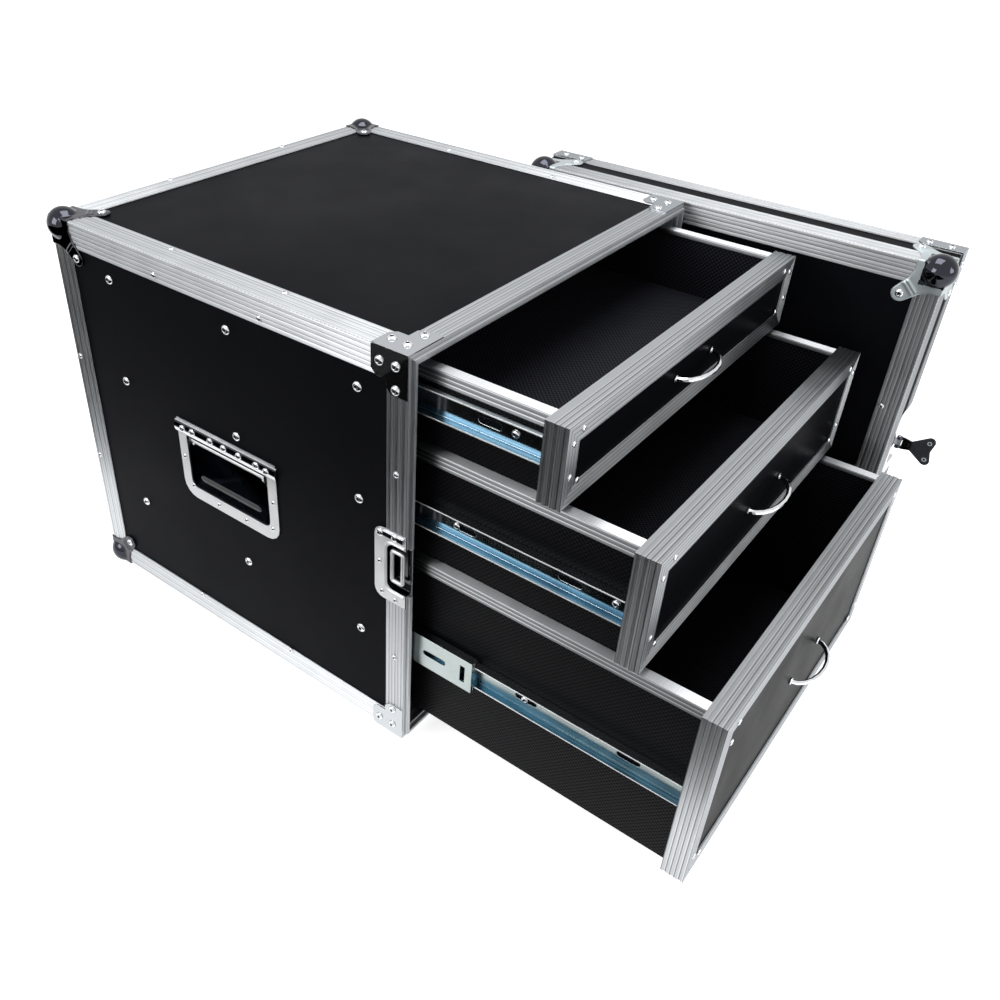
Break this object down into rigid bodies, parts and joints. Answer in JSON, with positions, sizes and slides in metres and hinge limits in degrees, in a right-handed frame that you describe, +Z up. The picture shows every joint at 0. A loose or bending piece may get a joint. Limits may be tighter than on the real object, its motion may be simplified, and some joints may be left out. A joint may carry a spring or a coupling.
{
  "type": "road case with drawers",
  "caption": "Black laminate flight case with drawers on full-extension slides, ribbed aluminium edges, ball corners, recessed handles and a lift-off lid.",
  "frame": {"origin": "middle of the front rail's underside, on the flat strip between its first two ribs; the front braces stand 1.3 mm and the back's ball corners 8.5 mm below it", "axes": "+Z up, -Y out of the open front where the drawers come out, +X towards the side where the lid stands"},
  "size_m": [0.6198, 0.8909, 0.506],
  "materials": {
    "laminate": "plywood faced with black fine-textured laminate",
    "drawer_laminate": "board faced with smooth black laminate",
    "embossed_board": "board with a black embossed facing",
    "satin_aluminium": "satin ribbed extrusion",
    "zinc_steel": "bright zinc-plated pressed sheet",
    "slide_steel": "bright zinc-plated rolled sheet",
    "ball_chrome": "bright plated pressed steel",
    "pull_chrome": "polished chrome",
    "dark_chrome": "dark mirror plating",
    "black_rubber": "moulded black rubber"
  },
  "bodies": {
    "case": {"left_side_panel": "laminate", "right_side_panel": "laminate", "bottom_panel": "laminate", "top_panel": "laminate", "back_panel": "laminate", "front_frame": "satin_aluminium", "back_frame": "satin_aluminium", "bottom_left_edge": "satin_aluminium", "bottom_right_edge": "satin_aluminium", "top_right_edge": "satin_aluminium", "top_left_edge": "satin_aluminium", "back_bottom_left_ball_corner": "ball_chrome", "back_top_left_ball_corner": "ball_chrome", "back_bottom_right_ball_corner": "ball_chrome", "back_top_right_ball_corner": "ball_chrome", "left_latch_keeper": "zinc_steel", "right_latch_keeper": "zinc_steel", "left_handle_dish": "zinc_steel", "right_handle_dish": "zinc_steel"},
    "left_handle": {"left_handle_bail": "zinc_steel", "left_handle_grip": "black_rubber"},
    "right_handle": {"right_handle_bail": "zinc_steel", "right_handle_grip": "black_rubber"},
    "bottom_middle_slides": {"bottom_left_middle_slide": "slide_steel", "bottom_right_middle_slide": "slide_steel"},
    "middle_middle_slides": {"middle_left_middle_slide": "slide_steel", "middle_right_middle_slide": "slide_steel"},
    "top_middle_slides": {"top_left_middle_slide": "slide_steel", "top_right_middle_slide": "slide_steel"},
    "bottom_drawer": {"bottom_left_drawer_slide": "slide_steel", "bottom_right_drawer_slide": "slide_steel", "bottom_drawer_board": "drawer_laminate", "bottom_drawer_frame": "satin_aluminium", "bottom_drawer_tray": "embossed_board", "bottom_drawer_pull": "pull_chrome"},
    "middle_drawer": {"middle_left_drawer_slide": "slide_steel", "middle_right_drawer_slide": "slide_steel", "middle_drawer_board": "drawer_laminate", "middle_drawer_frame": "satin_aluminium", "middle_drawer_tray": "embossed_board", "middle_drawer_pull": "pull_chrome"},
    "top_drawer": {"top_left_drawer_slide": "slide_steel", "top_right_drawer_slide": "slide_steel", "top_drawer_board": "drawer_laminate", "top_drawer_frame": "satin_aluminium", "top_drawer_tray": "embossed_board", "top_drawer_pull": "pull_chrome"},
    "lid": {"lid_shell": "laminate", "lid_outer_frame": "satin_aluminium", "lid_mating_frame": "satin_aluminium", "lid_bottom_near_ball_corner": "ball_chrome", "lid_top_near_ball_corner": "ball_chrome", "lid_bottom_far_ball_corner": "ball_chrome", "lid_top_far_ball_corner": "ball_chrome", "near_latch_dish": "zinc_steel", "far_latch_dish": "zinc_steel"},
    "near_latch_cam_body": {"near_latch_cam": "zinc_steel"},
    "near_latch_wing_body": {"near_latch_wing": "dark_chrome"},
    "far_latch_cam_body": {"far_latch_cam": "zinc_steel"},
    "far_latch_wing_body": {"far_latch_wing": "dark_chrome"}
  },
  "joints": [
    {"name": "left_handle_swing", "type": "hinge", "parent": "case", "child": "left_handle", "pos_m": [-0.26, 0.25217, 0.2705], "axis": [0, 1, 0], "range_deg": [0, 90], "stiffness_Nm_per_rad": 0.3},
    {"name": "right_handle_swing", "type": "hinge", "parent": "case", "child": "right_handle", "pos_m": [0.26, 0.28817, 0.2705], "axis": [0, 1, 0], "range_deg": [-90, 0], "stiffness_Nm_per_rad": 0.3},
    {"name": "bottom_middle_slides_run", "type": "slide", "parent": "case", "child": "bottom_middle_slides", "axis": [0, -1, 0], "range_m": [-0.1036, 0.1364]},
    {"name": "bottom_drawer_run", "type": "slide", "parent": "bottom_middle_slides", "child": "bottom_drawer", "axis": [0, -1, 0], "range_m": [-0.235, 0.005]},
    {"name": "middle_middle_slides_run", "type": "slide", "parent": "case", "child": "middle_middle_slides", "axis": [0, -1, 0], "range_m": [-0.013, 0.227]},
    {"name": "middle_drawer_run", "type": "slide", "parent": "middle_middle_slides", "child": "middle_drawer", "axis": [0, -1, 0], "range_m": [-0.238, 0.002]},
    {"name": "top_middle_slides_run", "type": "slide", "parent": "case", "child": "top_middle_slides", "axis": [0, -1, 0], "range_m": [0, 0.24]},
    {"name": "top_drawer_run", "type": "slide", "parent": "top_middle_slides", "child": "top_drawer", "axis": [0, -1, 0], "range_m": [-0.1527, 0.0873]},
    {"name": "lid_lift", "type": "slide", "parent": "case", "child": "lid", "axis": [0, 0, 1], "range_m": [0, 0.6]},
    {"name": "near_latch_turn", "type": "hinge", "parent": "lid", "child": "near_latch_cam_body", "pos_m": [0.3283, -0.31483, 0.2435], "axis": [0, 1, 0], "range_deg": [0, 90]},
    {"name": "near_latch_fold", "type": "hinge", "parent": "near_latch_cam_body", "child": "near_latch_wing_body", "pos_m": [0.3283, -0.31753, 0.2435], "axis": [0, 0, 1], "range_deg": [-90, 0]},
    {"name": "far_latch_turn", "type": "hinge", "parent": "lid", "child": "far_latch_cam_body", "pos_m": [0.3283, 0.21517, 0.2435], "axis": [0, 1, 0], "range_deg": [0, 90]},
    {"name": "far_latch_fold", "type": "hinge", "parent": "far_latch_cam_body", "child": "far_latch_wing_body", "pos_m": [0.3283, 0.21787, 0.2435], "axis": [0, 0, 1], "range_deg": [0, 90]}
  ]
}
